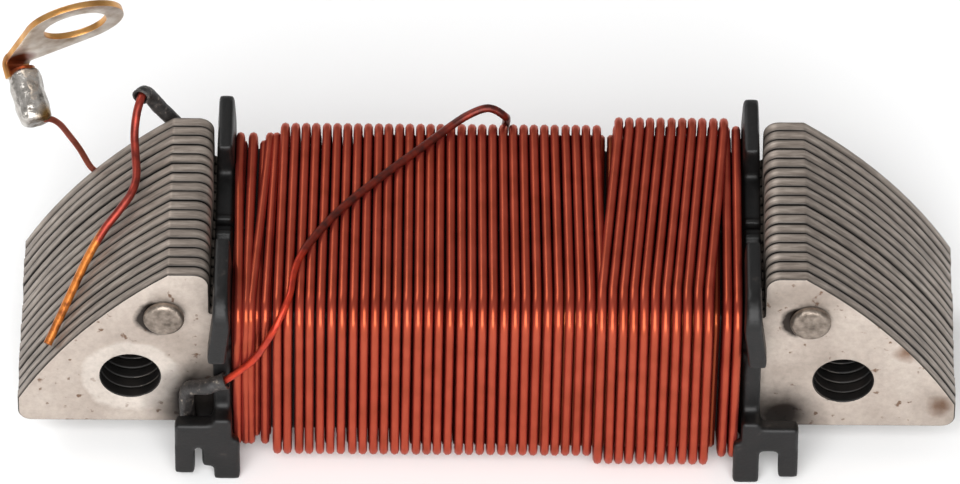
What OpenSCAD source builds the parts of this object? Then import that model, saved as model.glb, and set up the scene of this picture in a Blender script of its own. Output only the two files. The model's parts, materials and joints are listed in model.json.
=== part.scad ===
// Low-tension ignition coil for a flywheel magneto: laminated core with two pole shoes,
// a two-part bobbin, a layered winding and two stiff leads.
// Frame: X along the core, Z up towards the pole arcs, Y backwards.
// Origin: middle of the two fixing holes, on the rear (seating) face of the stack.

/* [Core] */
// Number of stamped sheets in the stack
sheet_count = 17; // [9:1:25]
// Thickness of one sheet
sheet_thickness = 1.0; // [0.5:0.05:1.5]
// Length of the core over both pole shoes
core_width = 71.2; // [60:0.2:90]
// Height of the bar that carries the winding
bar_height = 11.7; // [9:0.1:15]
// Clear distance between the two pole shoes
pole_gap = 41.8; // [34:0.2:52]
// Height of the core from the lower edge of the bar to the flat tops of the shoes
pole_height = 15.8; // [14:0.1:20]
// Length of the flat top of each shoe, before the arc that faces the flywheel
flat_top_length = 3.1; // [1:0.1:5]
// Height of the short upright end of each shoe
end_flat_height = 2.4; // [1:0.1:5]
// Rounding of the bottom outer corners
corner_radius = 1.0; // [0.3:0.1:2]
// Rounding of the upper inner corners of the shoes
tip_radius = 1.2; // [0.5:0.1:1.6]

/* [Fixing] */
// Diameter of the two fixing holes
fixing_hole_diameter = 4.5; // [3.2:0.1:5.5]
// Distance of each fixing hole from the inner side of its shoe
fixing_hole_inset = 6.1; // [5:0.1:9]
// Height of the fixing holes above the lower edge of the bar
fixing_hole_height = 4.9; // [4:0.1:7]
// Distance of each rivet from the inner side of its shoe
rivet_inset = 3.4; // [2.6:0.1:6]
// Height of the rivets above the lower edge of the bar
rivet_height = 11.5; // [10:0.1:13]
// Shank diameter of a rivet
rivet_diameter = 2.4; // [1.5:0.1:3]
// Head diameter of a rivet
rivet_head_diameter = 3.1; // [2.5:0.1:4]
// Height of a rivet head over the front sheet
rivet_head_height = 0.8; // [0.3:0.05:1]

/* [Bobbin] */
// Wall of the bobbin tube
bobbin_wall = 0.45; // [0.3:0.05:1]
// Clearance between the bar and the bobbin tube
bobbin_clearance = 0.05; // [0.02:0.01:0.3]
// Thickness of a flange
flange_thickness = 1.4; // [0.8:0.1:2.5]
// Clearance between a flange and the pole shoe beside it
flange_clearance = 0.25; // [0.1:0.05:0.6]
// Reach of the flanges in front of the stack and behind it
flange_reach = 3.1; // [2.5:0.1:4.5]
// Height of the flange tabs above the bar
tab_rise = 3.8; // [2.5:0.1:5]
// Length of the front flange tab, from front to back
front_tab_length = 7.4; // [5:0.1:8]
// Length of the rear flange tab, from front to back
rear_tab_length = 6.2; // [4:0.1:8]
// Height of the flange saddle between the tabs, above the bar
saddle_rise = 1.0; // [0.6:0.1:2]
// Depth of the flanges below the bar
flange_drop = 3.2; // [2.6:0.1:4]
// Depth of the recess in the front edge of each flange
notch_depth = 1.6; // [1.4:0.05:1.8]
// Width of the posts beside the front of each flange
post_width = 2.95; // [2:0.05:4]
// Thickness of the posts
post_thickness = 1.3; // [1:0.05:1.6]
// Depth of the post prongs below the bar
prong_drop = 2.6; // [1.5:0.1:3]

/* [Winding] */
// Diameter of the enamelled wire
wire_diameter = 0.6; // [0.4:0.02:0.7]
// Distance between neighbouring turns
turn_pitch = 0.8; // [0.75:0.01:1]
// Length of the lower layers that the main layer leaves bare, beside the left flange
bare_length = 3.2; // [0:0.8:8]
// Turns of the outermost layer
outer_turns = 11; // [4:1:16]
// Distance of the outermost layer from the right flange
outer_layer_inset = 1.6; // [0.5:0.1:5]

/* [Leads] */
// Diameter of the output lead
output_lead_diameter = 0.66; // [0.5:0.02:0.7]
// Diameter of the earth lead
earth_lead_diameter = 0.48; // [0.4:0.02:0.6]
// Outer diameter of the sleeve
sleeve_diameter = 1.2; // [1.1:0.05:1.4]
// Bore of the sleeve
sleeve_bore = 0.88; // [0.76:0.02:0.9]

/* [Terminal] */
// Hole in the ring terminal
ring_hole_diameter = 4.9; // [3.2:0.1:5.5]
// Outer diameter of the ring terminal
ring_diameter = 7.6; // [6.6:0.1:9]
// Sheet thickness of the terminal
terminal_thickness = 0.5; // [0.3:0.05:0.8]
// Width of the tongue between ring and barrel
tongue_width = 2.4; // [1.8:0.1:3.2]
// Outer diameter of the rolled barrel
barrel_diameter = 2.0; // [1.6:0.1:2.6]
// Length of the rolled barrel
barrel_length = 3.9; // [3:0.1:6]

/* [Hidden] */
$fn = 64;
eps = 0.01;
stack_depth = sheet_count * sheet_thickness;
front_y = -stack_depth;
middle_y = front_y / 2;
base_z = -fixing_hole_height;
bar_top_z = base_z + bar_height;
top_z = base_z + pole_height;
fixing_hole_x = pole_gap / 2 + fixing_hole_inset;
rivet_x = pole_gap / 2 + rivet_inset;

// Arc through the outer end of each flat top and the upper end of each upright
arc_start = [pole_gap / 2 + flat_top_length, top_z];
arc_end = [core_width / 2, base_z + end_flat_height];
arc_centre_z = (arc_start * arc_start - arc_end * arc_end) / (2 * (arc_start[1] - arc_end[1]));
pole_arc_radius = norm([arc_end[0], arc_end[1] - arc_centre_z]);

bobbin_half_length = pole_gap / 2 - flange_clearance;
winding_half_length = bobbin_half_length - flange_thickness;
end_clearance = 0.05;
tube_offset = bobbin_clearance + bobbin_wall;
tube_corner = 0.6;
bore_corner = 0.1;
front_tab_corner = 2.2;
rear_tab_corner = 1.0;
foot_width = 2.0;
foot_height = 4.2;
post_rise = 0.2;
post_height = 2.4;
prong_width = 1.5;
stub_width = 0.9;
stub_height = 2.0;
rib_width = 0.55;
rib_height = 0.5;
rib_from_joint = 0.95;
rib_behind_joint = 0.1;
rim_share = 0.55;
shell_share = 0.6;
crest_share = 0.8;
notch_from_base = 3.2;
notch_length = 6;
notch_bottom_z = base_z + notch_from_base;
notch_top_z = notch_bottom_z + notch_length;

// Layers of the winding, from the tube outwards
inner_offset = tube_offset + wire_diameter;
main_offset = inner_offset + wire_diameter;
outer_offset = main_offset + wire_diameter;
foot_thickness = flange_reach - outer_offset - end_clearance;
inner_turns = floor(2 * (winding_half_length - end_clearance) / turn_pitch + eps);
main_turns = inner_turns - round(bare_length / turn_pitch);

// Terminal: origin where the lead enters the barrel, Z along the barrel, X towards the ring
terminal_turn = [-50.3, -46, -13.4];
ring_centre = [5.9, -0.35];
ring_level = 5.1;
tongue_back = -1.35;
bend_radius = 0.9;
barrel_centre = [-0.55, -0.35];
barrel_start = 0.4;
solder_gap = 0.05;
solder_coat = 0.2;

// Lanes and scales that carry the picked points of the leads along with the sizes
lead_sides = 8;
crossover_diameter = wire_diameter - 0.04;
sleeve_radius = sleeve_diameter / 2;
flange_room = 0.6;
under_room = 0.15;
rear_room = 0.2;
lane_room = 0.25;
mouth_room = 0.05;
mouth_rise = 3.45;
lay_room = 0.04;
lay_inner_room = 0.12;
picked_shoe_length = 13.75;
picked_gap = 41.8;
picked_height = 15.8;
side_x = -bobbin_half_length - sleeve_radius - flange_room;
shoe_scale = (core_width / 2 + side_x) / picked_shoe_length;
gap_scale = pole_gap / picked_gap;
height_scale = pole_height / picked_height;
under_z = base_z - sleeve_radius - under_room;
rear_y = sleeve_radius + rear_room;
lane_y = front_y - sleeve_radius - lane_room;
notch_y = front_y - flange_reach + notch_depth - sleeve_radius - mouth_room;
mouth_z = notch_bottom_z + mouth_rise;
lay = outer_offset + crossover_diameter / 2 + lay_room;
lay_inner = main_offset + crossover_diameter / 2 + lay_inner_room;
bend_inset = tube_corner - tube_offset;

function shoe_z(x) = min(top_z, arc_centre_z + sqrt(pow(pole_arc_radius, 2) - x * x));
function on_coil(x, part, lift) = [x * gap_scale, part * front_y, bar_top_z + lay + lift];
function behind_coil(x, z) = [x * gap_scale, lay + 0.02, bar_top_z + z];
function round_front(x, angle) = [
    x * gap_scale,
    front_y + bend_inset - (lay + bend_inset) * sin(angle),
    bar_top_z - bend_inset + (lay + bend_inset) * cos(angle)
];
function before_coil(d, z) = [d - bobbin_half_length, front_y - lay_inner, mouth_z + z];
function shoe_lift(x) = shoe_z(x) < top_z ? pole_arc_radius / sqrt(pow(pole_arc_radius, 2) - x * x) : 1;
function over_shoe(d, part, lift) =
    let (x = side_x - d * shoe_scale) [x, part * front_y, shoe_z(x) + lift * shoe_lift(x)];
function behind_shoe(d, y, z) = [side_x - d * shoe_scale, y, base_z + z * height_scale];

// Routes of the leads: points picked by hand along the middle of each wire
crossover_route = [
    behind_coil(1.0, -1.4), behind_coil(1.2, 0.2), [1.35 * gap_scale, 2.2, bar_top_z + lay - 0.9],
    on_coil(1.2, -0.09, 0.15), on_coil(0.4, -0.09, 0.85), on_coil(-0.4, -0.085, 1.0),
    on_coil(-1.75, -0.06, 0.6),
    on_coil(-3.3, 0, 0.12), on_coil(-4.9, 0.094, 0), on_coil(-7.6, 0.26, 0), on_coil(-10.2, 0.43, 0),
    on_coil(-12, 0.57, 0), on_coil(-13.7, 0.74, 0), on_coil(-14.5, 0.875, 0), round_front(-14.75, 4),
    round_front(-14.95, 22), round_front(-15.5, 50), round_front(-16.2, 80), before_coil(3.25, 2.45),
    before_coil(1.95, 0.95), [side_x + 2.1, notch_y, mouth_z], [side_x + 1.4, notch_y, mouth_z - 0.35],
    [side_x + 0.75, notch_y, mouth_z - 0.7]
];
sleeve_route = [
    [side_x + 2.2, notch_y, mouth_z], [side_x + 1.4, notch_y, mouth_z - 0.35],
    [side_x + 0.75, notch_y, mouth_z - 0.7],
    [side_x - 0.15, notch_y + 0.55, mouth_z - 1.3], [side_x - 0.75, lane_y - 0.15, mouth_z - 2.25],
    [side_x - 0.85, lane_y, mouth_z - 4.05], [side_x - 0.65, lane_y, base_z + 0.3],
    [side_x - 0.45, lane_y + 0.65, under_z + 0.1], [side_x - 0.25, lane_y + 2.25, under_z],
    [side_x, 0.7 * front_y, under_z], [side_x, 0.35 * front_y, under_z], [side_x, -1.2, under_z],
    [side_x, rear_y - 0.4, under_z + 0.35], [side_x, rear_y, under_z + 2],
    behind_shoe(0, rear_y, 5.1), behind_shoe(0.2, rear_y, 9.1), behind_shoe(1, rear_y + 0.1, 12.2),
    behind_shoe(2.1, rear_y + 0.2, 14.15), behind_shoe(3.2, rear_y + 0.2, 15.7),
    behind_shoe(3.95, rear_y + 0.1, 17),
    behind_shoe(4.35, rear_y - 0.3, 17.65), behind_shoe(4.55, rear_y - 0.8, 17.75)
];
output_route = [
    behind_shoe(0.15, rear_y, 7.8), behind_shoe(0.2, rear_y, 9.1), behind_shoe(1, rear_y + 0.1, 12.2),
    behind_shoe(2.1, rear_y + 0.2, 14.15), behind_shoe(3.2, rear_y + 0.2, 15.7),
    behind_shoe(3.95, rear_y + 0.1, 17),
    behind_shoe(4.35, rear_y - 0.3, 17.65), behind_shoe(4.55, rear_y - 1, 17.75),
    over_shoe(4.85, 0.07, 2.59), over_shoe(5, 0.13, 1.87), over_shoe(4.9, 0.21, 1.09),
    over_shoe(4.8, 0.305, 0.639),
    over_shoe(5.1, 0.388, 0.559), over_shoe(5.95, 0.447, 0.537), over_shoe(7.15, 0.506, 0.508),
    over_shoe(8.35, 0.6, 0.465), over_shoe(9.55, 0.73, 0.378), over_shoe(10.55, 0.84, 0.358),
    over_shoe(11.35, 0.926, 0.365)
];
terminal_place = behind_shoe(11.8, -2.25, 17.5);
earth_route = [
    [side_x + 0.75, 1, base_z - 2.3], [side_x + 0.8, 2.2, base_z - 2.3],
    behind_shoe(0.05, 2.4, -2.3), behind_shoe(0.95, 2.3, -1.6),
    behind_shoe(1.35, 2.1, -0.1), behind_shoe(1.25, 2, 1.7), behind_shoe(1.05, 1.9, 3.7),
    behind_shoe(1.15, 1.7, 5.7),
    behind_shoe(1.55, 1.4, 7.7), behind_shoe(2.35, 1, 9.1), behind_shoe(3.55, 0.7, 10.1),
    behind_shoe(5.15, 0.5, 10.3), behind_shoe(6.55, 0.5, 9.8), behind_shoe(7.65, 0.4, 9.3),
    behind_shoe(8.45, 0.3, 9.8), behind_shoe(9.3, 0.1, 12), behind_shoe(10, -0.5, 14),
    terminal_place + [1.15, 1.05, -1.6], terminal_place + [0.55, 0.4, -0.4], terminal_place
];

sheet_names = [for (i = [1:sheet_count]) str("lamination_", i < 10 ? "0" : "", i)];

// ---------- shared shapes ----------

// Removes the corner outside a rounded bottom corner of the sheet
module bottom_corner_cut() {
    difference() {
        translate([core_width / 2 - corner_radius, base_z - 1])
            square([corner_radius + 1, corner_radius + 1]);
        translate([core_width / 2 - corner_radius, base_z + corner_radius])
            circle(corner_radius);
    }
}

// Removes the corner outside the rounded inner tip of a pole shoe
module tip_corner_cut() {
    difference() {
        translate([pole_gap / 2 - 1, top_z - tip_radius])
            square([tip_radius + 1, tip_radius + 1]);
        translate([pole_gap / 2 + tip_radius, top_z - tip_radius])
            circle(tip_radius);
    }
}

// Outline of one stamped sheet, in X and Z
module sheet_outline() {
    difference() {
        intersection() {
            translate([0, arc_centre_z])
                circle(pole_arc_radius, $fn = 180);
            translate([-core_width / 2, base_z])
                square([core_width, pole_height]);
        }
        translate([-pole_gap / 2, bar_top_z])
            square([pole_gap, pole_height]);
        for (side = [0, 1])
            mirror([side, 0]) {
                bottom_corner_cut();
                tip_corner_cut();
                translate([fixing_hole_x, 0])
                    circle(fixing_hole_diameter / 2);
                translate([rivet_x, base_z + rivet_height])
                    circle(rivet_diameter / 2);
            }
    }
}

// Rectangle round the bar in Y and Z, grown by an offset, with rounded corners
module bar_outline(grow, corner) {
    width = stack_depth + 2 * grow;
    height = bar_height + 2 * grow;
    translate([front_y - grow, base_z - grow]) {
        translate([corner, 0])
            square([width - 2 * corner, height]);
        translate([0, corner])
            square([width, height - 2 * corner]);
        for (y = [corner, width - corner], z = [corner, height - corner])
            translate([y, z])
                circle(corner);
    }
}

// Closed band round the bar between two offsets, extruded along X
module band(from_x, length, inner, outer, inner_corner) {
    translate([from_x, 0, 0])
        rotate([90, 0, 90])
            linear_extrude(length)
                difference() {
                    bar_outline(outer, inner_corner + outer - inner);
                    bar_outline(inner, inner_corner);
                }
}

// One layer of turns: a thin shell with a raised band for each turn
module winding_layer(from_x, turns, inner) {
    corner = tube_corner + inner - tube_offset;
    shell = wire_diameter * shell_share;
    crest = wire_diameter * crest_share;
    band(from_x, turns * turn_pitch, inner, inner + shell, corner);
    for (turn = [0:turns - 1])
        band(from_x + (turn + 0.5) * turn_pitch - crest / 2, crest, inner, inner + wire_diameter, corner);
}

// ---------- swept wires ----------

function unit(v) = v / norm(v);
function curve_point(a, b, c, d, t) =
    0.5 * (2 * b + (c - a) * t + (2 * a - 5 * b + 4 * c - d) * t * t + (3 * b - a - 3 * c + d) * t * t * t);
function smooth(route, steps) = concat(
    [for (i = [0:len(route) - 2], s = [0:steps - 1])
        curve_point(
            route[max(i - 1, 0)], route[i], route[i + 1], route[min(i + 2, len(route) - 1)], s / steps
        )],
    [route[len(route) - 1]]
);
function tangent(line, i) = unit(line[min(i + 1, len(line) - 1)] - line[max(i - 1, 0)]);
function level(n, t) = unit(n - (n * t) * t);
function normals(line, i = 0, n = [0.36, 0.48, 0.8]) =
    i >= len(line) ? [] : let (m = level(n, tangent(line, i))) concat([m], normals(line, i + 1, m));
function rings(line, frames, radius) = [
    for (i = [0:len(line) - 1], s = [0:lead_sides - 1])
        let (a = s * 360 / lead_sides, side = cross(tangent(line, i), frames[i]))
            line[i] + radius * (cos(a) * frames[i] + sin(a) * side)
];
function wall_faces(count, first, flip) = [
    for (i = [0:count - 2], s = [0:lead_sides - 1])
        let (a = first + i * lead_sides + s, b = first + i * lead_sides + (s + 1) % lead_sides)
            flip ? [a, b, b + lead_sides, a + lead_sides] : [a, a + lead_sides, b + lead_sides, b]
];

// Solid round wire along a route
module wire(route, diameter, steps) {
    line = smooth(route, steps);
    count = len(line);
    last = (count - 1) * lead_sides;
    polyhedron(
        rings(line, normals(line), diameter / 2),
        concat(
            wall_faces(count, 0, false),
            [[for (s = [0:lead_sides - 1]) s]],
            [[for (s = [lead_sides - 1:-1:0]) last + s]]
        )
    );
}

// Hollow sleeve along a route
module pipe(route, outer_diameter, bore, steps) {
    line = smooth(route, steps);
    frames = normals(line);
    count = len(line);
    inner = count * lead_sides;
    last = (count - 1) * lead_sides;
    polyhedron(
        concat(rings(line, frames, outer_diameter / 2), rings(line, frames, bore / 2)),
        concat(
            wall_faces(count, 0, false),
            wall_faces(count, inner, true),
            [for (s = [0:lead_sides - 1]) let (n = (s + 1) % lead_sides) [s, n, inner + n, inner + s]],
            [for (s = [0:lead_sides - 1]) let (n = (s + 1) % lead_sides)
                [last + n, last + s, inner + last + s, inner + last + n]]
        )
    );
}

// ---------- sub-parts ----------

// One stamped sheet, counted from the front
module lamination(index) {
    color("#a59a90")
        translate([0, front_y + index * sheet_thickness, 0])
            rotate([90, 0, 0])
                translate([0, 0, -sheet_thickness])
                    linear_extrude(sheet_thickness)
                        sheet_outline();
}

// Rivet through the stack: a button head in front, flush behind
module rivet(side) {
    head_radius = rivet_head_diameter / 2;
    rim_height = rivet_head_height * rim_share;
    dome_height = rivet_head_height - rim_height;
    dome_radius = (pow(head_radius, 2) + pow(dome_height, 2)) / (2 * dome_height);
    color("#8e857d")
        translate([side * rivet_x, 0, base_z + rivet_height])
            rotate([90, 0, 0]) {
                cylinder(r = rivet_diameter / 2, h = stack_depth + eps);
                translate([0, 0, stack_depth])
                    rotate_extrude() {
                        square([head_radius, rim_height]);
                        intersection() {
                            translate([0, rivet_head_height - dome_radius])
                                circle(dome_radius, $fn = 180);
                            square([head_radius, rivet_head_height]);
                        }
                    }
            }
}

// Tab of a flange, from front to back, with one well rounded outer corner
module tab(from_y, length, corner, outer_side) {
    foot_z = bar_top_z + saddle_rise - eps;
    rise = tab_rise - saddle_rise + eps;
    translate([from_y + (outer_side < 0 ? length : 0), foot_z])
        mirror([outer_side < 0 ? 1 : 0, 0]) {
            square([length - corner, rise]);
            square([length, rise - corner]);
            translate([length - corner, rise - corner])
                circle(corner);
        }
}

// Side outline of both flanges, in Y and Z, before the halves are parted
module flange_outline() {
    front = front_y - flange_reach;
    back = flange_reach;
    bottom = base_z - flange_drop;
    saddle = bar_top_z + saddle_rise;
    difference() {
        union() {
            translate([front, bottom])
                square([back - front, saddle - bottom]);
            tab(front, front_tab_length, front_tab_corner, -1);
            tab(back - rear_tab_length, rear_tab_length, rear_tab_corner, 1);
        }
        bar_outline(bobbin_clearance, bore_corner);
        translate([front - 1, notch_bottom_z])
            square([notch_depth + 1, notch_top_z - notch_bottom_z]);
    }
}

// Both flanges and the tube, as if moulded in one
module bobbin_body() {
    for (side = [0, 1])
        mirror([side, 0, 0])
            translate([winding_half_length, 0, 0])
                rotate([90, 0, 90])
                    linear_extrude(flange_thickness)
                        flange_outline();
    translate([-winding_half_length, 0, 0])
        rotate([90, 0, 90])
            linear_extrude(2 * winding_half_length)
                difference() {
                    bar_outline(tube_offset, tube_corner);
                    bar_outline(bobbin_clearance, bore_corner);
                }
}

// Post and foot beside the front of the right flange, clear of the front sheet
module post() {
    front = front_y - flange_reach;
    translate([bobbin_half_length - eps, front, base_z + post_rise])
        cube([post_width, post_thickness, post_height]);
    translate([bobbin_half_length + post_width - prong_width, front, base_z - prong_drop])
        cube([prong_width, post_thickness, prong_drop + post_rise + eps]);
    translate([bobbin_half_length - foot_width, front, base_z - flange_drop])
        cube([foot_width, foot_thickness, foot_height]);
}

// Stub beside the prong, on the left post only
module stub() {
    translate([-bobbin_half_length - stub_width, front_y - flange_reach, base_z + post_rise - stub_height])
        cube([stub_width + eps, post_thickness, stub_height + eps]);
}

// Rib beside the joint of the two halves, on top of the right flange
module joint_rib(y) {
    translate([winding_half_length, y, bar_top_z + saddle_rise - eps])
        cube([flange_thickness, rib_width, rib_height]);
}

// Front half, with a post and prongs beside each flange
module bobbin_front() {
    color("#2e2b2a") {
        difference() {
            bobbin_body();
            translate([-core_width, middle_y, -pole_arc_radius])
                cube([2 * core_width, stack_depth, 2 * pole_arc_radius]);
        }
        for (side = [0, 1])
            mirror([side, 0, 0]) {
                post();
                joint_rib(middle_y - rib_from_joint - rib_width);
            }
        stub();
    }
}

// Back half: plain flanges
module bobbin_back() {
    color("#2e2b2a") {
        difference() {
            bobbin_body();
            translate([-core_width, middle_y - 2 * stack_depth, -pole_arc_radius])
                cube([2 * core_width, 2 * stack_depth, 2 * pole_arc_radius]);
        }
        for (side = [0, 1])
            mirror([side, 0, 0])
                joint_rib(middle_y + rib_behind_joint);
    }
}

// Two lower layers, seen at the left end of the winding
module winding_inner() {
    start_x = -inner_turns * turn_pitch / 2;
    color("#8a3a34") {
        band(start_x, inner_turns * turn_pitch, tube_offset, inner_offset, tube_corner);
        winding_layer(start_x, inner_turns, inner_offset);
    }
}

// Main layer, which starts beside the right flange
module winding_main() {
    color("#a8453c")
        winding_layer((inner_turns / 2 - main_turns) * turn_pitch, main_turns, main_offset);
}

// Short layer on top of the main one
module winding_outer() {
    color("#a8453c")
        winding_layer(
            winding_half_length - outer_layer_inset - outer_turns * turn_pitch, outer_turns, outer_offset
        );
}

// End of the winding, laid over the coil into the eyelet
module crossover_lead() {
    color("#b0402f")
        wire(crossover_route, crossover_diameter, 3);
}

// Varnished sleeve from the eyelet, under and behind the left shoe, to its free mouth
module lead_sleeve() {
    color("#1f1a19")
        pipe(sleeve_route, sleeve_diameter, sleeve_bore, 3);
}

// Stiff output lead, which starts inside the sleeve
module output_lead() {
    color("#b4513f")
        wire(output_route, output_lead_diameter, 3);
}

// Earth lead, from behind the left shoe to the terminal
module earth_lead() {
    color("#7a4540")
        wire(earth_route, earth_lead_diameter, 3);
}

// Tongue outline: sides tangent to the ring, narrowing to the bend
module tongue_outline(start) {
    radius = ring_diameter / 2;
    reach = [ring_centre[0] - start, tongue_width / 2];
    angle = atan2(reach[1], reach[0]) + acos(radius / norm(reach));
    touch = radius * [-cos(angle), sin(angle)];
    translate(ring_centre)
        polygon([[-reach[0], -reach[1]], [touch[0], -touch[1]], touch, [-reach[0], reach[1]]]);
}

// Quarter bend between the tongue and the strip into the barrel
module terminal_bend() {
    half = tongue_width / 2;
    bend_z = ring_level + terminal_thickness - bend_radius;
    translate([tongue_back + bend_radius, ring_centre[1] + half, bend_z])
        rotate([90, 0, 0])
            intersection() {
                difference() {
                    cylinder(r = bend_radius, h = tongue_width);
                    translate([0, 0, -1])
                        cylinder(r = bend_radius - terminal_thickness, h = tongue_width + 2);
                }
                translate([-2 * bend_radius, 0, 0])
                    cube([2 * bend_radius, 2 * bend_radius, tongue_width]);
            }
}

// Barrel with its bore, or the room it takes when grown by a gap
module barrel(gap) {
    translate([barrel_centre[0], barrel_centre[1], barrel_start - gap])
        difference() {
            cylinder(d = barrel_diameter + 2 * gap, h = barrel_length + 2 * gap);
            translate([0, 0, -1])
                cylinder(d = barrel_diameter - 2 * terminal_thickness - 2 * gap, h = barrel_length + 2);
        }
}

// Upright strip between bend and barrel, or the room it takes
module strip(gap) {
    top = ring_level + terminal_thickness - bend_radius;
    bottom = barrel_start + barrel_length - terminal_thickness;
    translate([tongue_back - gap, ring_centre[1] - tongue_width / 2 - gap, bottom - gap])
        cube([terminal_thickness + 2 * gap, tongue_width + 2 * gap, top - bottom + gap]);
}

// Ring, bent tongue and rolled barrel of the terminal
module ring_terminal() {
    color("#c9975e")
        translate(terminal_place)
            rotate(terminal_turn) {
                translate([0, 0, ring_level])
                    difference() {
                        union() {
                            translate(ring_centre)
                                cylinder(d = ring_diameter, h = terminal_thickness);
                            linear_extrude(terminal_thickness)
                                tongue_outline(tongue_back + bend_radius);
                        }
                        translate([ring_centre[0], ring_centre[1], -1])
                            cylinder(d = ring_hole_diameter, h = terminal_thickness + 2);
                    }
                terminal_bend();
                strip(0);
                barrel(0);
            }
}

// Solder that fills and coats the barrel
module solder_joint() {
    radius = barrel_diameter / 2 + solder_coat;
    color("#c8c4bf")
        translate(terminal_place)
            rotate(terminal_turn)
                difference() {
                    translate([barrel_centre[0], barrel_centre[1], -solder_coat])
                        cylinder(r = radius, h = barrel_start + barrel_length);
                    barrel(solder_gap);
                    strip(solder_gap);
                    rotate([-90, 0, 0])
                        translate([0, 0, -solder_gap])
                            cylinder(r = earth_lead_diameter / 2 + solder_gap, h = radius * 2);
                }
}

for (i = [0:sheet_count - 1])
    lamination(i);
rivet(-1);  // rivet_left
rivet(1);  // rivet_right
bobbin_front();
bobbin_back();
winding_inner();
winding_main();
winding_outer();
crossover_lead();
lead_sleeve();
output_lead();
earth_lead();
ring_terminal();
solder_joint();
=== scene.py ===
import json
import math
import random

import bpy
from mathutils import Matrix, Vector

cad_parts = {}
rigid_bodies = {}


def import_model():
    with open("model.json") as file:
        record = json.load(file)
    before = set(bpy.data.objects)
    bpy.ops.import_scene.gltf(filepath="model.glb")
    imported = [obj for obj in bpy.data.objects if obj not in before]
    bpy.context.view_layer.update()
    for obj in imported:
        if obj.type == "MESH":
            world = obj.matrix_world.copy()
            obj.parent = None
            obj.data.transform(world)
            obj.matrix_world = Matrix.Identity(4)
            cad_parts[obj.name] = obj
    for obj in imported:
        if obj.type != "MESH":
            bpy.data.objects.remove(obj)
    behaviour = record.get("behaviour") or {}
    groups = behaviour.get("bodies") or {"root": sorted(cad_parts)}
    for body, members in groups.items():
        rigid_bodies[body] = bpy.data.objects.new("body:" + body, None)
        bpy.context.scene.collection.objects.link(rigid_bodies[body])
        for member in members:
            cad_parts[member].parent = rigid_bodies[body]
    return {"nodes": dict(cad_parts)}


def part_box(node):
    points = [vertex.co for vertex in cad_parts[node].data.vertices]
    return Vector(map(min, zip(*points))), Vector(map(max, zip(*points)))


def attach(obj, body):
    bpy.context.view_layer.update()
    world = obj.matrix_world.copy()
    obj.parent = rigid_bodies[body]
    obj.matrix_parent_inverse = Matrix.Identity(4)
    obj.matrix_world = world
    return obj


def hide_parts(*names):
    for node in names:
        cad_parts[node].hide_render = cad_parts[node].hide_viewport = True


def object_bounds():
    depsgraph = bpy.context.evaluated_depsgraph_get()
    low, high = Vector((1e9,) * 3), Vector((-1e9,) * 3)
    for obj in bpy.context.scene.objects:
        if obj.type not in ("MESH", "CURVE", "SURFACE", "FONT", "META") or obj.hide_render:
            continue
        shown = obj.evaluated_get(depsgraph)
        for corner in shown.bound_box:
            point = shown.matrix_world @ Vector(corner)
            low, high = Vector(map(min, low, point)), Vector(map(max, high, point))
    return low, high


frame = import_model()
cad_low, cad_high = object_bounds()

# ---------- sizes, in millimetres, from the frame ----------

MM = 0.001


def in_mm(corner):
    return [value / MM for value in corner]


front_low, front_high = (in_mm(corner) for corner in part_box("lamination_01"))
_, rear_high = (in_mm(corner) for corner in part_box("lamination_17"))
inner_low, inner_high = (in_mm(corner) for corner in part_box("winding_inner"))
main_low, main_high = (in_mm(corner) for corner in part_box("winding_main"))
outer_low, outer_high = (in_mm(corner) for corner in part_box("winding_outer"))
bobbin_low, bobbin_high = (in_mm(corner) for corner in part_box("bobbin_front"))
_, bobbin_rear_high = (in_mm(corner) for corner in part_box("bobbin_back"))
rivet_low, rivet_high = (in_mm(corner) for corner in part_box("rivet_left"))

SHEETS = sorted(name for name in frame["nodes"] if name.startswith("lamination_"))
SHEET = front_high[1] - front_low[1]
WIRE = main_high[1] - inner_high[1]
PITCH = 0.8
FRONT = front_low[1]
BASE = front_low[2]
BAR_TOP = inner_high[2] - (inner_high[1] - rear_high[1])
TUBE = inner_high[1] - rear_high[1] - 2 * WIRE
TUBE_CORNER = 0.6
HOLE_X = 27.0
HOLE_RADIUS = 2.25
RIVET_X = (rivet_low[0] + rivet_high[0]) / 2
RIVET_Z = (rivet_low[2] + rivet_high[2]) / 2

# ---------- helpers ----------


def metres(point):
    return Vector(point) * MM


def colour(code):
    """sRGB hex to linear."""
    parts = [int(code[i : i + 2], 16) / 255 for i in (1, 3, 5)]
    return [p / 12.92 if p <= 0.04045 else ((p + 0.055) / 1.055) ** 2.4 for p in parts] + [1.0]


def add(tree, kind, inputs=None, stops=None, out=0, **settings):
    """Adds one node with its settings, links or sets its inputs, and gives one of its outputs."""
    made = tree.nodes.new(kind)
    for name, value in settings.items():
        setattr(made, name, value)
    for name, value in (inputs or {}).items():
        if isinstance(value, bpy.types.NodeSocket):
            tree.links.new(value, made.inputs[name])
        else:
            made.inputs[name].default_value = value
    if stops:
        ramp = made.color_ramp
        while len(ramp.elements) < len(stops):
            ramp.elements.new(0.5)
        for element, (place, value) in zip(ramp.elements, stops):
            element.position = place
            element.color = colour(value) if isinstance(value, str) else (value, value, value, 1)
    return made.outputs[out] if made.outputs else None


def new_material(name):
    """An empty material, its node tree and its object coordinates."""
    made = bpy.data.materials.new(name)
    made.use_nodes = True
    made.node_tree.nodes.clear()
    return made, made.node_tree, add(made.node_tree, "ShaderNodeTexCoord", out=3)


def close_material(made, inputs):
    """The shader with its inputs, joined to the output."""
    shader = add(made.node_tree, "ShaderNodeBsdfPrincipled", inputs)
    add(made.node_tree, "ShaderNodeOutputMaterial", {"Surface": shader})
    return made


def deselect():
    for obj in bpy.context.view_layer.objects:
        obj.select_set(False)


def select_only(*objs):
    deselect()
    for obj in objs:
        obj.select_set(True)
    bpy.context.view_layer.objects.active = objs[0]


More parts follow.
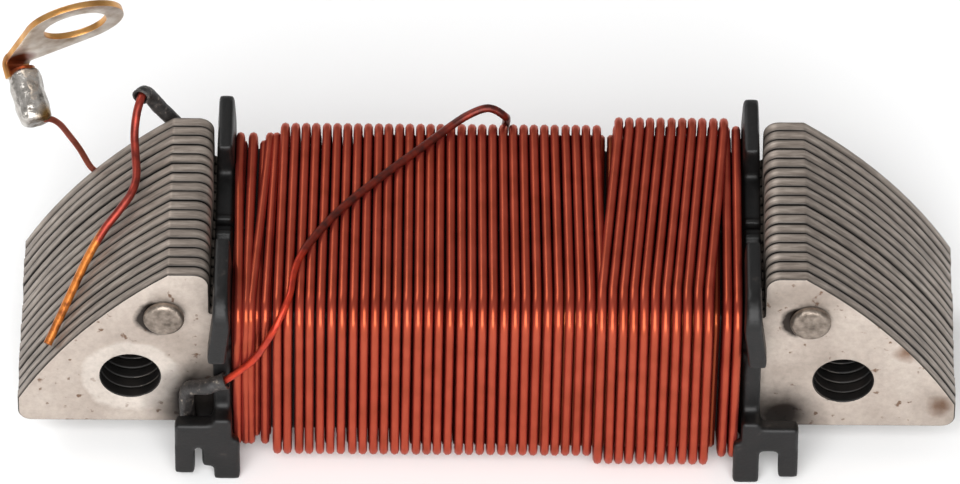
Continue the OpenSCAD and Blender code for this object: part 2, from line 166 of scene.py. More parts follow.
def apply_modifiers(obj):
    select_only(obj)
    for modifier in list(obj.modifiers):
        bpy.ops.object.modifier_apply(modifier=modifier.name)


def modify(obj, kind, **settings):
    """Adds one modifier with its settings and applies it."""
    made = obj.modifiers.new(kind.lower(), kind)
    for name, value in settings.items():
        setattr(made, name, value)
    apply_modifiers(obj)


def bevel(obj, width, segments, angle=35):
    made = obj.modifiers.new("bevel", "BEVEL")
    made.width = width * MM
    made.segments = segments
    made.limit_method = "ANGLE"
    made.angle_limit = math.radians(angle)
    made.miter_outer = "MITER_ARC"
    apply_modifiers(obj)


def smooth(obj, angle=40):
    select_only(obj)
    bpy.ops.object.shade_smooth_by_angle(angle=math.radians(angle))


def settle(obj):
    """Puts the object's place into its mesh."""
    select_only(obj)
    bpy.ops.object.transform_apply(location=True, rotation=True, scale=True)


def merged_copy(node, name):
    """A merged copy of a CAD node's mesh, as a new piece."""
    source = frame["nodes"][node]
    made = bpy.data.objects.new(name, source.data.copy())
    bpy.context.scene.collection.objects.link(made)
    made.data.materials.clear()
    select_only(made)
    bpy.ops.object.mode_set(mode="EDIT")
    bpy.ops.mesh.select_all(action="SELECT")
    bpy.ops.mesh.remove_doubles(threshold=0.002 * MM)
    bpy.ops.mesh.dissolve_limited(angle_limit=math.radians(0.5))
    bpy.ops.object.mode_set(mode="OBJECT")
    return made


def join(name, *objs):
    select_only(*objs)
    bpy.ops.object.join()
    objs[0].name = name
    return objs[0]


def finish_piece(obj, material, slot, *nodes):
    if material is not None:
        obj.data.materials.clear()
        obj.data.materials.append(material)
    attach(obj, "root")
    if nodes:
        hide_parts(*nodes)
    return obj


# ---------- camera ----------

CAMERA_ELEVATION = 45.2
CAMERA_AZIMUTH = -0.1
CAMERA_ROLL = 0.35
CAMERA_DISTANCE = 830
CAMERA_VIEW_WIDTH = 72.7
CAMERA_TARGET = (-0.6, FRONT / 2, BASE + 10.95)


def make_camera():
    data = bpy.data.cameras.new("camera")
    data.sensor_width = 36
    data.lens = 36 * CAMERA_DISTANCE / CAMERA_VIEW_WIDTH
    data.clip_start = 0.05
    data.clip_end = 20
    made = bpy.data.objects.new("camera", data)
    bpy.context.scene.collection.objects.link(made)
    elevation = math.radians(CAMERA_ELEVATION)
    azimuth = math.radians(CAMERA_AZIMUTH)
    level = math.cos(elevation)
    ahead = Vector((math.sin(azimuth) * level, math.cos(azimuth) * level, -math.sin(elevation)))
    made.location = metres(CAMERA_TARGET) - ahead * CAMERA_DISTANCE * MM
    roll = Matrix.Rotation(math.radians(CAMERA_ROLL), 3, "Z")
    made.rotation_euler = (ahead.to_track_quat("-Z", "Y").to_matrix() @ roll).to_euler()
    bpy.context.scene.camera = made


make_camera()

# ---------- leads ----------

CROSSOVER_ROUTE = [
    (1.0, 2.64, 5.4), (1.2, 2.64, 7.0), (1.35, 2.2, 8.52), (1.2, 1.53, 9.57), (0.4, 1.53, 10.27),
    (-0.4, 1.45, 10.42), (-1.75, 1.02, 10.02), (-3.3, 0, 9.54), (-4.9, -1.6, 9.42), (-7.6, -4.42, 9.42),
    (-10.2, -7.31, 9.42), (-12.0, -9.69, 9.42), (-13.7, -12.58, 9.42), (-14.5, -14.88, 9.42),
    (-14.75, -17.09, 9.41), (-14.95, -17.92, 9.22), (-15.5, -18.98, 8.45), (-16.2, -19.58, 7.17),
    (-17.4, -19.1, 4.2), (-18.7, -19.1, 2.7), (-19.75, -19.15, 1.75), (-20.45, -19.15, 1.4),
    (-21.1, -19.15, 1.05),
]
SLEEVE_ROUTE = [
    (-19.65, -19.15, 1.75), (-20.45, -19.15, 1.4), (-21.1, -19.15, 1.05), (-22.0, -18.6, 0.45),
    (-22.6, -18.0, -0.5), (-22.7, -17.85, -2.3), (-22.5, -17.85, -4.6), (-22.3, -17.2, -5.55),
    (-22.1, -15.6, -5.65), (-21.85, -11.9, -5.65), (-21.85, -5.95, -5.65), (-21.85, -1.2, -5.65),
    (-21.85, 0.4, -5.3), (-21.85, 0.8, -3.65), (-21.85, 0.8, 0.2), (-22.05, 0.8, 4.2), (-22.85, 0.9, 7.3),
    (-23.95, 1.0, 9.25), (-25.05, 1.0, 10.8), (-25.8, 0.9, 12.1), (-26.2, 0.5, 12.75), (-26.4, 0.0, 12.85),
]
OUTPUT_ROUTE = [
    (-22.0, 0.8, 2.9), (-22.05, 0.8, 4.2), (-22.85, 0.9, 7.3), (-23.95, 1.0, 9.25), (-25.05, 1.0, 10.8),
    (-25.8, 0.9, 12.1), (-26.2, 0.5, 12.75), (-26.4, -0.2, 12.85), (-26.7, -1.19, 12.17),
    (-26.85, -2.21, 11.09), (-26.75, -3.57, 10.13), (-26.65, -5.19, 9.62), (-26.95, -6.6, 9.25),
    (-27.8, -7.6, 8.46), (-29.0, -8.6, 7.26), (-30.2, -10.2, 5.94), (-31.4, -12.41, 4.42),
    (-32.4, -14.28, 3.13), (-33.2, -15.74, 2.06),
]
EARTH_ROUTE = [
    (-21.1, 1.0, -7.2), (-21.05, 2.2, -7.2), (-21.9, 2.4, -7.2), (-22.8, 2.3, -6.5), (-23.2, 2.1, -5.0),
    (-23.1, 2.0, -3.2), (-22.9, 1.9, -1.2), (-23.0, 1.7, 0.8), (-23.4, 1.4, 2.8), (-24.2, 1.0, 4.2),
    (-25.4, 0.7, 5.2), (-27.0, 0.5, 5.4), (-28.4, 0.5, 4.9), (-29.5, 0.4, 4.4), (-30.3, 0.3, 4.9),
    (-31.15, 0.1, 7.1), (-31.85, -0.5, 9.1), (-32.5, -1.2, 11.0), (-33.1, -1.85, 12.2),
    (-33.65, -2.25, 12.6),
]
OUTPUT_DIAMETER = 0.66
EARTH_DIAMETER = 0.48


def curve_through(route, steps):
    """Points of one smooth curve through a route."""
    points = [Vector(p) for p in route]
    line = []
    for i in range(len(points) - 1):
        a, b = points[max(i - 1, 0)], points[i]
        c, d = points[i + 1], points[min(i + 2, len(points) - 1)]
        for step in range(steps):
            t = step / steps
            line.append(
                0.5 * (2 * b + (c - a) * t
                       + (2 * a - 5 * b + 4 * c - d) * t**2 + (3 * b - a - 3 * c + d) * t**3)
            )
    return line + [points[-1]]


def wire_curve(name, line, diameter, radii=None, rings=3):
    """One open spline with a round section."""
    data = bpy.data.curves.new(name, "CURVE")
    data.dimensions = "3D"
    data.bevel_depth = diameter / 2 * MM
    data.bevel_resolution = rings
    data.use_fill_caps = True
    spline = data.splines.new("POLY")
    spline.points.add(len(line) - 1)
    for i, point in enumerate(line):
        spline.points[i].co = (*metres(point), 1)
        spline.points[i].radius = radii[i] if radii else 1
    spline.use_smooth = True
    made = bpy.data.objects.new(name, data)
    bpy.context.scene.collection.objects.link(made)
    return made


def as_mesh(obj):
    select_only(obj)
    bpy.ops.object.convert(target="MESH")
    return bpy.context.view_layer.objects.active


output_line = curve_through(OUTPUT_ROUTE, 5)
output_lead = wire_curve("output_lead_wire", output_line, OUTPUT_DIAMETER)
earth_line = curve_through(EARTH_ROUTE, 5)
earth_lead = wire_curve("earth_lead_wire", earth_line, EARTH_DIAMETER)

# ---------- materials ----------


def near(tree, place, centre, inner, outer):
    """One inside a radius round a point, falling to nothing at a larger one; in millimetres."""
    away = add(tree, "ShaderNodeVectorMath", {0: place, 1: metres(centre)}, out=1, operation="DISTANCE")
    return add(
        tree, "ShaderNodeMapRange",
        {"Value": away, "From Min": inner * MM, "From Max": outer * MM, "To Min": 1.0, "To Max": 0.0},
    )


def grain_size(size):
    """Noise scale whose features are about this many millimetres across."""
    return 1 / (size * MM)


def make_steel_face(name, worn_and_shaded):
    """Stamped silicon steel: pale and matt from handling; the front sheet's version carries its wear and
    rust, with painted shade beside the bobbin's lower corners and round the rivet heads."""
    made, tree, place = new_material(name)
    cloud = add(tree, "ShaderNodeTexNoise", {"Vector": place, "Scale": grain_size(6), "Detail": 6.0})
    fine = add(
        tree, "ShaderNodeTexNoise",
        {"Vector": place, "Scale": grain_size(0.5), "Detail": 6.0, "Roughness": 0.7},
    )
    speck = add(tree, "ShaderNodeTexNoise", {"Vector": place, "Scale": grain_size(0.9), "Detail": 3.0})
    tone = add(
        tree, "ShaderNodeValToRGB", {0: cloud}, [(0.3, "#998D83"), (0.5, "#ADA197"), (0.72, "#BEB3A9")],
    )
    rub = add(tree, "ShaderNodeValToRGB", {0: fine}, [(0.32, 0.66), (0.62, 1.0)])
    tone = add(
        tree, "ShaderNodeMix", {0: 0.6, 6: tone, 7: rub}, out=2, data_type="RGBA", blend_type="MULTIPLY",
    )
    dots = add(tree, "ShaderNodeValToRGB", {0: speck}, [(0.64, 0.0), (0.7, 1.0)])
    tone = add(tree, "ShaderNodeMix", {0: dots, 6: tone, 7: colour("#6B5445")}, out=2, data_type="RGBA")
    rough = add(tree, "ShaderNodeValToRGB", {0: fine}, [(0.3, 0.42), (0.7, 0.62)])
    if worn_and_shaded:
        flat = add(tree, "ShaderNodeMapping", {"Vector": place, "Scale": (1, 0, 1)})
        wavy = add(
            tree, "ShaderNodeTexNoise", {"Vector": place, "Scale": grain_size(1.6), "Detail": 5.0}, out=1,
        )
        bent = add(
            tree, "ShaderNodeMix", {0: 0.0012, 6: flat, 7: wavy}, out=2, data_type="RGBA", blend_type="ADD",
        )
        worn = near(tree, bent, (-HOLE_X + 0.6, 0, 0.6), 3.5, 3.9)
        bright = add(tree, "ShaderNodeMath", {0: worn, 1: rub}, operation="MULTIPLY")
        soft = add(tree, "ShaderNodeMath", {0: bright, 1: 0.35}, operation="MULTIPLY")
        tone = add(tree, "ShaderNodeMix", {0: soft, 6: tone, 7: colour("#E2DBD3")}, out=2, data_type="RGBA")
        # Rust specks and painted shade, each a patch round a point on the front sheet.
        for centre, inner, outer, code in (
            # Painted shade on the sheet beside the bobbin's lower corners, under its posts.
            ((-20.8, 0, -2.2), 2.2, 5.0, "#2B2522"), ((22.9, 0, -3.2), 1.2, 3.8, "#3A322D"),
            ((32.2, 0, 3.6), 0.4, 1.3, "#8E6238"), ((34.9, 0, -2.0), 0.5, 1.4, "#8E6238"),
            # Painted shadow: a dark ring round each rivet head, reaching further above it than below.
            ((-RIVET_SIDE, 0, RIVET_Z + 0.15), 1.55, 1.95, "#3A322C"),
            ((RIVET_SIDE, 0, RIVET_Z + 0.15), 1.55, 1.95, "#3A322C"),
        ):
            rust_and_shade = near(tree, bent, centre, inner, outer)
            tone = add(
                tree, "ShaderNodeMix", {0: rust_and_shade, 6: tone, 7: colour(code)},
                out=2, data_type="RGBA", blend_type="MULTIPLY",
            )
    height = add(tree, "ShaderNodeBump", {"Height": fine, "Strength": 0.3, "Distance": 0.03 * MM})
    return close_material(made, {"Base Color": tone, "Metallic": 0.55, "Roughness": rough, "Normal": height})


def make_steel_edge():
    """Sheared sheet edge: brown-grey, streaked along the cut, paler where it is rubbed; painted shade at the
    gaps.
    """
    made, tree, place = new_material("sheared_silicon_steel_edge")
    along = add(tree, "ShaderNodeMapping", {"Vector": place, "Scale": (0.35, 2.4, 0.35)})
    streak = add(
        tree, "ShaderNodeTexNoise",
        {"Vector": along, "Scale": grain_size(0.7), "Detail": 6.0, "Roughness": 0.65},
    )
    cloud = add(tree, "ShaderNodeTexNoise", {"Vector": place, "Scale": grain_size(3), "Detail": 5.0})
    tone = add(
        tree, "ShaderNodeValToRGB", {0: streak}, [(0.3, "#786D64"), (0.5, "#978B81"), (0.72, "#B8ACA1")],
    )
    dirt = add(tree, "ShaderNodeValToRGB", {0: cloud}, [(0.35, 0.72), (0.65, 1.0)])
    tone = add(
        tree, "ShaderNodeMix", {0: 0.6, 6: tone, 7: dirt}, out=2, data_type="RGBA", blend_type="MULTIPLY",
    )
    depth = add(tree, "ShaderNodeSeparateXYZ", {0: place}, out=1)
    sheets_in = add(
        tree, "ShaderNodeMath", {0: depth, 1: 1 / (SHEET * MM), 2: -FRONT / SHEET}, operation="MULTIPLY_ADD"
    )
    within = add(tree, "ShaderNodeMath", {0: sheets_in}, operation="FRACT")
    # Painted shade: each sheet's edge darkens towards the gaps between sheets and over its rounded-off
    # corners.
    gap_shade = add(
        tree, "ShaderNodeValToRGB", {0: within},
        [(0.07, 0.05), (0.19, 0.7), (0.38, 1.0), (0.62, 1.0), (0.81, 0.7), (0.93, 0.05)],
    )
    tone = add(
        tree, "ShaderNodeMix", {0: 1.0, 6: tone, 7: gap_shade}, out=2, data_type="RGBA", blend_type="MULTIPLY",
    )
    height = add(tree, "ShaderNodeBump", {"Height": streak, "Strength": 0.4, "Distance": 0.05 * MM})
    return close_material(made, {"Base Color": tone, "Metallic": 0.55, "Roughness": 0.48, "Normal": height})


def make_bore_wall():
    """Wall of the fixing holes: almost black with painted shade in the bore, a little browner in patches."""
    made, tree, place = new_material("bore_wall_in_painted_shade")
    cloud = add(tree, "ShaderNodeTexNoise", {"Vector": place, "Scale": grain_size(1.5), "Detail": 4.0})
    tone = add(tree, "ShaderNodeValToRGB", {0: cloud}, [(0.4, "#080605"), (0.7, "#1A1512")])
    return close_material(made, {"Base Color": tone, "Metallic": 0.2, "Roughness": 0.6})


def make_plastic():
    """Moulded glass-filled nylon: black with dusty patches; its sandy grain is drawn coarser, so it shows."""
    made, tree, place = new_material("moulded_black_nylon")
    fine = add(
        tree, "ShaderNodeTexNoise",
        {"Vector": place, "Scale": grain_size(0.35), "Detail": 4.0, "Roughness": 0.7},
    )
    dust = add(
        tree, "ShaderNodeTexNoise",
        {"Vector": place, "Scale": grain_size(2), "Detail": 7.0, "Roughness": 0.7},
    )
    tone = add(
        tree, "ShaderNodeValToRGB", {0: dust}, [(0.4, "#040404"), (0.62, "#0D0B0B"), (0.78, "#3A3430")],
    )
    height = add(tree, "ShaderNodeBump", {"Height": fine, "Strength": 0.5, "Distance": 0.06 * MM})
    return close_material(
        made, {"Base Color": tone, "Roughness": 0.45, "Normal": height, "Specular IOR Level": 0.35},
    )


def make_enamel(name, dark, mid, light, roughness=0.3, painted_shade_from=None):
    """Enamelled copper: red film over bright metal, so the highlights turn orange; painted shade darkens
    covered turns.
    """
    made, tree, place = new_material(name)
    cloud = add(tree, "ShaderNodeTexNoise", {"Vector": place, "Scale": grain_size(2), "Detail": 4.0})
    rub = add(tree, "ShaderNodeTexNoise", {"Vector": place, "Scale": grain_size(0.6), "Detail": 3.0})
    tone = add(tree, "ShaderNodeValToRGB", {0: cloud}, [(0.3, dark), (0.5, mid), (0.75, light)])
    # Painted shade: past this place along x the turns lie under the upper winding and are drawn dark
    # red-black.
    if painted_shade_from is not None:
        x = add(tree, "ShaderNodeSeparateXYZ", {0: place})
        covered = add(
            tree, "ShaderNodeMapRange",
            {"Value": x, "From Min": painted_shade_from * MM, "From Max": (painted_shade_from + 0.3) * MM},
        )
        tone = add(
            tree, "ShaderNodeMix", {0: covered, 6: tone, 7: colour("#4A1512")}, out=2, data_type="RGBA",
        )
    height = add(tree, "ShaderNodeBump", {"Height": rub, "Strength": 0.15, "Distance": 0.04 * MM})
    return close_material(made, {
        "Base Color": tone, "Metallic": 0.35, "Roughness": roughness, "Normal": height,
        "Specular IOR Level": 1.0, "IOR": 2.1, "Specular Tint": colour("#FF8A50"),
    })


def make_part_bared(name, coat, coat_dark, bare, bare_dark, axis, limit, blur):
    """Lead whose film changes past one place along an axis: rough or scraped on one side of it."""
    made, tree, place = new_material(name)
    apart = add(tree, "ShaderNodeSeparateXYZ", {0: place}, out=axis)
    patch = add(tree, "ShaderNodeTexNoise", {"Vector": place, "Scale": grain_size(0.8), "Detail": 5.0})
    shifted = add(tree, "ShaderNodeMath", {0: patch, 1: blur * MM, 2: apart}, operation="MULTIPLY_ADD")
    side = add(
        tree, "ShaderNodeMapRange",
        {
            "Value": shifted, "From Min": (limit + 0.5 * blur - 0.3) * MM,
            "From Max": (limit + 0.5 * blur + 0.3) * MM,
        },
    )
    film = add(tree, "ShaderNodeValToRGB", {0: patch}, [(0.35, coat_dark), (0.6, coat)])
    metal = add(tree, "ShaderNodeValToRGB", {0: patch}, [(0.35, bare_dark), (0.55, bare)])
    tone = add(tree, "ShaderNodeMix", {0: side, 6: metal, 7: film}, out=2, data_type="RGBA")
    height = add(tree, "ShaderNodeBump", {"Height": patch, "Strength": 0.5, "Distance": 0.08 * MM})
    return close_material(made, {"Base Color": tone, "Metallic": 0.7, "Roughness": 0.36, "Normal": height})


def make_sleeve():
    """Varnished glass-fibre sleeving: black and grainy, with pale worn specks of weave."""
    made, tree, place = new_material("varnished_sleeving")
    grain = add(
        tree, "ShaderNodeTexNoise",
        {"Vector": place, "Scale": grain_size(0.45), "Detail": 4.0, "Roughness": 0.75},
    )
    tone = add(
        tree, "ShaderNodeValToRGB", {0: grain}, [(0.45, "#151211"), (0.6, "#2E2927"), (0.72, "#8F8578")],
    )
    height = add(tree, "ShaderNodeBump", {"Height": grain, "Strength": 0.8, "Distance": 0.12 * MM})
    return close_material(made, {"Base Color": tone, "Roughness": 0.5, "Normal": height})


def make_metal(name, dark, light, roughness, size, depth, burnt=None):
    """Bare metal, mottled and in shallow relief at one size; burnt red-brown at a place if one is given."""
    made, tree, place = new_material(name)
    cloud = add(tree, "ShaderNodeTexNoise", {"Vector": place, "Scale": grain_size(size), "Detail": 5.0})
    tone = add(tree, "ShaderNodeValToRGB", {0: cloud}, [(0.3, dark), (0.7, light)])
    if burnt is not None:
        mark = near(tree, place, burnt, 0.9, 1.5)
        tone = add(tree, "ShaderNodeMix", {0: mark, 6: tone, 7: colour("#7E3A1E")}, out=2, data_type="RGBA")
    height = add(tree, "ShaderNodeBump", {"Height": cloud, "Strength": 0.5, "Distance": depth * MM})
    return close_material(
        made, {"Base Color": tone, "Metallic": 0.9, "Roughness": roughness, "Normal": height},
    )


def make_solder():
    """Soft solder run by hand: bright skin with pits, and amber flux left low at its right side."""
    made, tree, place = new_material("soft_solder_with_flux")
    pits = add(
        tree, "ShaderNodeTexNoise",
        {"Vector": place, "Scale": grain_size(0.7), "Detail": 4.0, "Roughness": 0.6},
    )
    tone = add(tree, "ShaderNodeValToRGB", {0: pits}, [(0.3, "#4E4842"), (0.42, "#A39E98"), (0.7, "#CBC6C0")])
    flux = near(tree, place, FLUX_PLACE, 0.7, 1.5)
    tone = add(
        tree, "ShaderNodeMix", {0: flux, 6: tone, 7: colour("#A88650")},
        out=2, data_type="RGBA", blend_type="MULTIPLY",
    )
    height = add(tree, "ShaderNodeBump", {"Height": pits, "Strength": 0.6, "Distance": 0.12 * MM})
    return close_material(made, {"Base Color": tone, "Metallic": 0.85, "Roughness": 0.24, "Normal": height})


TERMINAL_TURN = Matrix.Rotation(math.radians(-13.4), 3, "Z") @ Matrix.Rotation(math.radians(-46), 3, "Y")
TERMINAL_TURN = TERMINAL_TURN @ Matrix.Rotation(math.radians(-50.3), 3, "X")
TERMINAL_UP = TERMINAL_TURN @ Vector((0, 0, 1))
BEND_PLACE = Vector(EARTH_ROUTE[-1]) + TERMINAL_TURN @ Vector((-0.3, -0.6, 4.7))
RIVET_SIDE = abs(RIVET_X)
FLUX_PLACE = (-33.0, -2.6, 13.2)
steel_face = make_steel_face("stamped_silicon_steel_face", False)
front_face = make_steel_face("worn_and_shaded_front_sheet_face", True)
steel_edge = make_steel_edge()
bore_wall = make_bore_wall()
plastic = make_plastic()
main_enamel = make_enamel("enamelled_winding_wire", "#6E2420", "#7F2D28", "#8D3830")
# The lower layers are covered from x = -15.9 mm on and are drawn there in painted shade.
inner_enamel = make_enamel("enamelled_wire_of_lower_layers", "#6E2420", "#7F2D28", "#8D3830", 0.3, -15.9)
crossover_enamel = make_part_bared(
    "crossover_wire_film", "#74281C", "#48201B", "#B4361F", "#9C2C1C", 1, -13.2, 1.5,
)
output_enamel = make_part_bared(
    "output_wire_film_scraped_at_the_tip", "#8E3428", "#6A261E", "#CC7A36", "#7E421B", 0, -29.3, 2.5,
)
earth_enamel = make_enamel("dull_earth_wire_enamel", "#4E2A26", "#6B3B37", "#7F4A43", 0.5)
sleeving = make_sleeve()
brass = make_metal("rolled_brass", "#A8763F", "#DDA868", 0.32, 1.6, 0.03, BEND_PLACE)
tinned = make_metal("tinned_brass", "#C2AE98", "#F2EAE0", 0.36, 1.2, 0.04, BEND_PLACE)
solder_metal = make_solder()
rivet_metal = make_metal("upset_steel_rivet", "#5E554D", "#9A8E83", 0.42, 0.6, 0.22)

# ---------- core ----------

dice = random.Random(7)


def make_sheet(index, node):
    """One stamped sheet: rounded at its edges, thinner than its pitch, laid a little out of line."""
    made = merged_copy(node, f"sheet_{index + 1:02d}")
    middle = FRONT + (index + 0.5) * SHEET
    shift = Vector((dice.uniform(-0.05, 0.05), 0, dice.uniform(-0.07, 0.0)))
    keep = 0.998
    thin = 0.88 if index else 0.92
    for vertex in made.data.vertices:
        x, y, z = vertex.co / MM
        y = middle + (y - middle) * thin
        vertex.co = metres((x * keep + shift.x, y, z * keep + shift.z))
    bevel(made, 0.3 if index else 0.2, 4)
    made.data.materials.append(steel_face if index else front_face)
    made.data.materials.append(steel_edge)
    made.data.materials.append(bore_wall)
    for face in made.data.polygons:
        side = Vector((abs(face.center.x) / MM - HOLE_X, face.center.z / MM))
        seen = (index == 0 and face.normal.y < -0.9) or (index == len(SHEETS) - 1 and face.normal.y > 0.9)
        if seen:
            face.material_index = 0
        elif side.length < HOLE_RADIUS + 0.1:
            face.material_index = 2
        else:
            face.material_index = 1
    smooth(made, 30)
    return finish_piece(made, None, "sheet_steel", node)


for i, node in enumerate(SHEETS):
    make_sheet(i, node)


SHANK_RADIUS = 1.19


def make_rivet(side, name, node):
    """Rivet with a button head, slightly flattened, and a shank flush behind."""
    radius = (rivet_high[0] - rivet_low[0]) / 2
    head_height = FRONT - rivet_low[1]
    depth = rear_high[1] - FRONT
    turned = (math.radians(90), 0, 0)
    deselect()
    bpy.ops.mesh.primitive_cylinder_add(
        vertices=48, radius=SHANK_RADIUS * MM, depth=depth * MM, rotation=turned,
        location=metres((side * RIVET_SIDE, FRONT + depth / 2, RIVET_Z)),
    )
    shank = bpy.context.active_object
    settle(shank)
    deselect()
    bpy.ops.mesh.primitive_cylinder_add(
        vertices=48, radius=radius * MM, depth=head_height * MM, rotation=turned,
        location=metres((side * RIVET_SIDE, FRONT - head_height / 2, RIVET_Z)),
    )
    head = bpy.context.active_object
    settle(head)
    bevel(head, head_height * 0.48, 6, 50)
    made = join(name, head, shank)
    smooth(made, 40)
    return finish_piece(made, rivet_metal, "rivet_steel", node)


make_rivet(-1, "left_rivet", "rivet_left")
make_rivet(1, "right_rivet", "rivet_right")

# ---------- bobbin ----------

FLANGE_OUTER = inner_high[0] + 1.45
TAB_TOP = bobbin_high[2]
# Smoothed faces are held this far inside the bobbin's box
HAIR = 0.02


def share(value, low, high):
    """Nought below one value, one above another, straight between them."""
    return min(1.0, max(0.0, (value - low) / (high - low)))


def make_bobbin(name, node):
    """Moulded half: soft edges, tabs that narrow upwards, and lower ends that spread outwards."""
    made = merged_copy(node, name)
    modify(made, "REMESH", mode="VOXEL", voxel_size=0.2 * MM)
    modify(made, "SMOOTH", iterations=9, factor=0.5)
    flange_middle = (inner_high[0] + FLANGE_OUTER) / 2
    for vertex in made.data.vertices:
        x, y, z = vertex.co / MM
        side = 1 if x > 0 else -1
        away = abs(x)
        if away > inner_high[0] - 0.1:
            taper = 0.2 * share(z, BAR_TOP + 1.0, TAB_TOP)
            away = flange_middle + (away - flange_middle) * (1 - taper)
            if y < FRONT - 1.3:
                away += 0.35 * share(8 - z, 0, 3) * share(z, 2.5, 4.2)
        y = min(bobbin_rear_high[1] - HAIR, max(bobbin_low[1] + HAIR, y))
        vertex.co = metres((side * away, y, max(bobbin_low[2] + HAIR, z)))
    modify(made, "DECIMATE", ratio=0.4)
    smooth(made, 50)
    return finish_piece(made, plastic, "bobbin_plastic", node)


make_bobbin("bobbin_half_front", "bobbin_front")
make_bobbin("bobbin_half_back", "bobbin_back")

# ---------- winding ----------

# The wire is drawn thicker than its layers are apart, and the upper layers a little looser, to close the gaps
FULL_WIRE = 0.68
LOOSE = 0.15
BAR_DEPTH = rear_high[1] - FRONT
BAR_HEIGHT = BAR_TOP - BASE


def loop_point(distance, offset, corner):
    """Point at a distance along a rounded rectangle round the bar, from low on the front face upwards."""
    half_y = BAR_DEPTH / 2 + offset
    half_z = BAR_HEIGHT / 2 + offset
    side_y = 2 * (half_y - corner)
    side_z = 2 * (half_z - corner)
    arc = math.pi / 2 * corner
    middle_y = FRONT + BAR_DEPTH / 2
    middle_z = BASE + BAR_HEIGHT / 2
    turn = 0
    for straight in (side_z, side_y, side_z, side_y):
        if distance <= straight + arc:
            break
        distance -= straight + arc
        turn += 1
    straight = (side_z, side_y, side_z, side_y)[turn % 4]
    if distance <= straight:
        along = distance - straight / 2
        flat = (half_y, half_z)[turn % 2]
        local = (-flat, along)
    else:
        angle = (distance - straight) / corner
        flat = (half_y, half_z)[turn % 2]
        local = (-flat + corner * (1 - math.cos(angle)), straight / 2 + corner * math.sin(angle))
    y, z = local
    for _ in range(turn % 4):
        y, z = z, -y
    return middle_y + y, middle_z + z


def loop_length(offset, corner):
    half_y = BAR_DEPTH / 2 + offset
    half_z = BAR_HEIGHT / 2 + offset
    return 4 * (half_y - corner) + 4 * (half_z - corner) + 2 * math.pi * corner


def loop_stations(offset, corner):
    """Distances along one turn: close together in the corners, wider apart on the flats."""
    side_y = 2 * (BAR_DEPTH / 2 + offset - corner)
    side_z = 2 * (BAR_HEIGHT / 2 + offset - corner)
    arc = math.pi / 2 * corner
    stations = []
    start = 0
    for straight in (side_z, side_y, side_z, side_y):
        stations += [start + straight * k / 5 for k in range(5)]
        stations += [start + straight + arc * k / 6 for k in range(6)]
        start += straight + arc
    return stations


def make_winding(name, from_x, turns, layer, wobble, lean, seed):
    """Continuous wire wound turn by turn, each turn a little uneven; lean gives its slant at a place."""
    luck = random.Random(seed)
    offset = TUBE + (layer + 0.5) * WIRE + (LOOSE if layer > 1 else 0)
    corner = TUBE_CORNER + (layer + 0.5) * WIRE + (LOOSE if layer > 1 else 0)
    whole = loop_length(offset, corner)
    ahead = math.pi / 2 * corner + BAR_DEPTH / 2 + offset - corner
    stations = sorted(((at + ahead) % whole, at) for at in loop_stations(offset, corner))
    limit = inner_high[0] - WIRE / 2
    line = []
    before = [luck.uniform(-1, 1) for _ in range(4)]
    for turn in range(turns):
        after = [luck.uniform(-1, 1) for _ in range(4)]
        slant = lean(from_x + (turn + 0.5) * PITCH, turn)
        for progress, at in stations:
            part = progress / whole
            y, z = loop_point(at, offset, corner)
            forward = 0.5 - share(y, FRONT, rear_high[1])
            sway = (before[0] * math.sin(2 * math.pi * part + before[1] * 3) + 0.6 * before[2]) * (1 - part)
            sway += (after[0] * math.sin(2 * math.pi * part + after[1] * 3) + 0.6 * after[2]) * part
            x = from_x + (turn + part) * PITCH + wobble * sway + slant * forward
            line.append(Vector((min(limit, max(-limit, x)), y, z)))
        before = after
    made = as_mesh(wire_curve(name, line, FULL_WIRE, rings=2))
    smooth(made, 60)
    return made


def count_turns(low, high):
    return round((high[0] - low[0]) / PITCH)


def bare_lean(x, turn):
    """The bare turns at the left cross one another; the covered ones lie straight."""
    return (0.5, 0.1, -0.9, -0.3, 0.2)[turn] if turn < 5 else 0.0


def straight(x, turn):
    return 0.0


def main_lean(x, turn):
    return 0.6 * share(x, -15, 8) if x < 9 else (-0.9 if x < 17.5 else 0.2)


def outer_lean(x, turn):
    return -1.1


INNER_TURNS = count_turns(inner_low, inner_high)
lower = make_winding("inner_turns_lower", inner_low[0], INNER_TURNS, 0, 0.03, straight, 2)
upper = make_winding("inner_turns", inner_low[0], INNER_TURNS, 1, 0.07, bare_lean, 3)
inner_turns = join("inner_turns", upper, lower)
finish_piece(inner_turns, inner_enamel, "winding_wire", "winding_inner")
main_turns = make_winding("main_turns", main_low[0], count_turns(main_low, main_high), 2, 0.05, main_lean, 5)
finish_piece(main_turns, main_enamel, "winding_wire", "winding_main")
outer_turns = make_winding(
    "outer_turns", outer_low[0], count_turns(outer_low, outer_high), 3, 0.05, outer_lean, 8,
)
finish_piece(outer_turns, main_enamel, "winding_wire", "winding_outer")

crossover_line = curve_through(CROSSOVER_ROUTE, 6)
crossover_radii = [1.12 if point.y > -13 else 0.98 for point in crossover_line]
crossover = as_mesh(wire_curve("crossover_wire", crossover_line, WIRE - 0.04, crossover_radii))
smooth(crossover, 60)
finish_piece(crossover, crossover_enamel, "crossover_wire", "crossover_lead")

sleeve_line = curve_through(SLEEVE_ROUTE, 6)
sleeve_radii = [
    1 + 0.22 * max(share(-i, -5, 0), share(i, len(sleeve_line) - 6, len(sleeve_line)))
    + dice.uniform(-0.03, 0.03)
    for i in range(len(sleeve_line))
]
sleeve = wire_curve("sleeve_tube", sleeve_line, 1.16, sleeve_radii, 6)
sleeve.data.use_fill_caps = False
sleeve = as_mesh(sleeve)
modify(sleeve, "SOLIDIFY", thickness=0.17 * MM, offset=-1)
smooth(sleeve, 60)
finish_piece(sleeve, sleeving, "sleeve_varnish", "lead_sleeve")

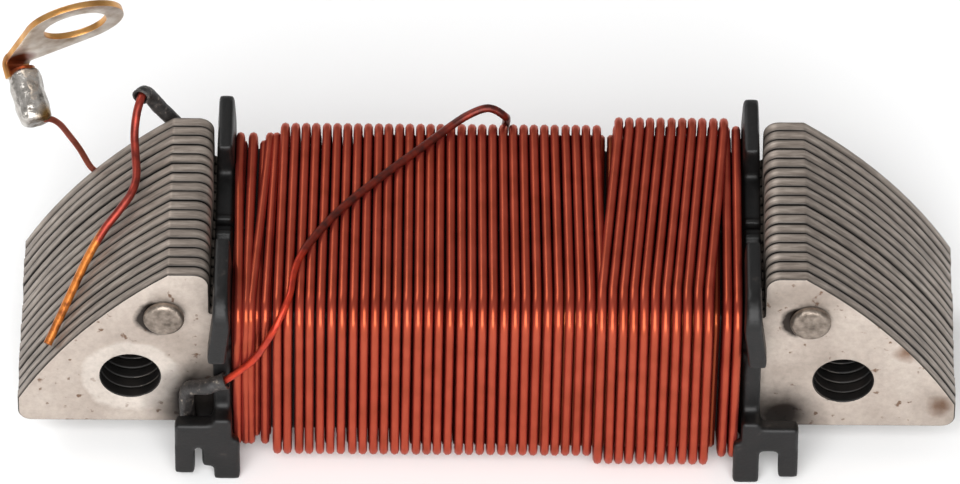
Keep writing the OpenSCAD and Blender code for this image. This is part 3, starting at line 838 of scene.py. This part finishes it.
output_lead.data.materials.append(output_enamel)
finish_piece(output_lead, None, "output_wire", "output_lead")
earth_lead.data.materials.append(earth_enamel)
finish_piece(earth_lead, None, "earth_wire", "earth_lead")

# ---------- terminal ----------

terminal = merged_copy("ring_terminal", "ring_terminal_sheet")
bevel(terminal, 0.09, 2)
terminal.data.materials.append(brass)
terminal.data.materials.append(tinned)
for face in terminal.data.polygons:
    face.material_index = 1 if face.normal.dot(TERMINAL_UP) < -0.7 else 0
smooth(terminal, 35)
finish_piece(terminal, None, "terminal_brass", "ring_terminal")


def make_solder_joint():
    """Lump of solder over the rolled barrel: a rounded capsule, drawn uneven."""
    deselect()
    centre = Vector(EARTH_ROUTE[-1]) + TERMINAL_TURN @ Vector((-0.55, -0.35, 2.0))
    bpy.ops.mesh.primitive_cylinder_add(
        vertices=40, radius=1.3 * MM, depth=4.4 * MM, location=metres(centre),
        rotation=TERMINAL_TURN.to_euler(),
    )
    made = bpy.context.active_object
    made.name = "solder_lump"
    settle(made)
    bevel(made, 0.6, 4, 50)
    modify(made, "REMESH", mode="VOXEL", voxel_size=0.12 * MM)
    lumps = bpy.data.textures.new("lumps", "CLOUDS")
    lumps.noise_scale = 1.3 * MM
    modify(made, "DISPLACE", texture=lumps, texture_coords="LOCAL", strength=0.35 * MM, mid_level=0.6)
    modify(made, "SMOOTH", iterations=3, factor=0.5)
    smooth(made, 60)
    return finish_piece(made, solder_metal, "solder", "solder_joint")


make_solder_joint()

# ---------- stage ----------

deselect()
bpy.ops.mesh.primitive_plane_add(size=6, location=(0, 1.0, cad_low[2]))
floor = bpy.context.active_object
floor.name = "floor"
paper, _, _ = new_material("matt_white_paper_floor")
close_material(paper, {"Base Color": colour("#FAFAFA"), "Roughness": 0.9})
floor.data.materials.append(paper)


def soft_light(name, place, size, depth, watts):
    """One soft rectangular light turned to the part."""
    data = bpy.data.lights.new(name, "AREA")
    data.shape = "RECTANGLE"
    data.size = size
    data.size_y = depth
    data.energy = watts
    made = bpy.data.objects.new(name, data)
    bpy.context.scene.collection.objects.link(made)
    made.location = place
    made.rotation_euler = (-Vector(place)).to_track_quat("-Z", "Y").to_euler()


soft_light("front_box", (-0.1, -0.9, 0.7), 1.2, 0.9, 17)
soft_light("front_strip", (0.0, -1.0, 0.22), 1.2, 0.14, 5)
soft_light("back_left", (-0.5, 0.45, 0.7), 0.5, 0.5, 3)
world = bpy.data.worlds.new("studio")
bpy.context.scene.world = world
world.use_nodes = True
world.node_tree.nodes["Background"].inputs["Color"].default_value = (1, 1, 1, 1)
world.node_tree.nodes["Background"].inputs["Strength"].default_value = 0.38
bpy.context.scene.view_settings.view_transform = "Standard"
